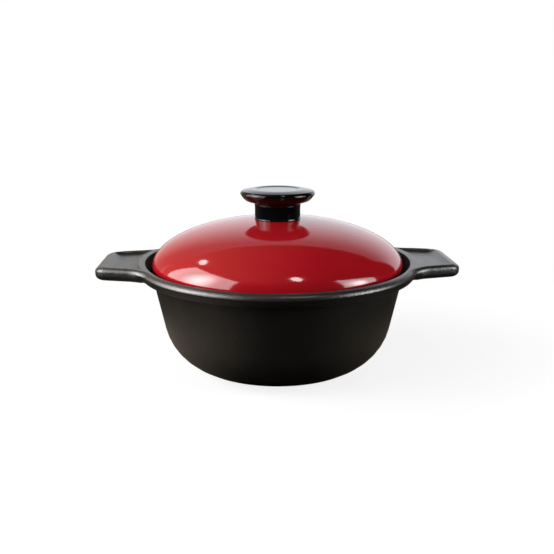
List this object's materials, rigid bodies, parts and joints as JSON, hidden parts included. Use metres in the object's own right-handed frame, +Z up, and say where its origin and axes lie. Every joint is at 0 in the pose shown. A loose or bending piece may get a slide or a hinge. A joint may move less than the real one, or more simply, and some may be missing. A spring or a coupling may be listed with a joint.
{
  "type": "cast iron casserole",
  "caption": "Round cast iron casserole with a drafted pot, cast-on tab handles, a stepped rim and a red enamelled domed lid that lifts off by a black knob.",
  "frame": {"origin": "middle of the pot's flat base, on the surface that it stands on", "axes": "+Z up along the axis of the pot and lid, +X along the two handles, +Y square to them"},
  "size_m": [0.2708, 0.213, 0.1377],
  "materials": {
    "cast_iron": "matt black, fine sand-cast grain",
    "red_enamel": "high-gloss vitreous enamel over cast iron",
    "black_phenolic": "polished moulded phenolic",
    "brass": "turned",
    "screw_steel": "bright stainless",
    "spring_steel": "plain spring steel",
    "washer_steel": "stamped stainless"
  },
  "bodies": {
    "pot": {"pot": "cast_iron"},
    "lid": {"lid": "red_enamel", "knob": "black_phenolic", "knob_bush": "brass", "knob_screw": "screw_steel", "spring_washer": "spring_steel", "flat_washer": "washer_steel"}
  },
  "joints": [
    {"name": "lid_lift", "type": "slide", "parent": "pot", "child": "lid", "axis": [0, 0, 1], "range_m": [0, 0.12]}
  ]
}
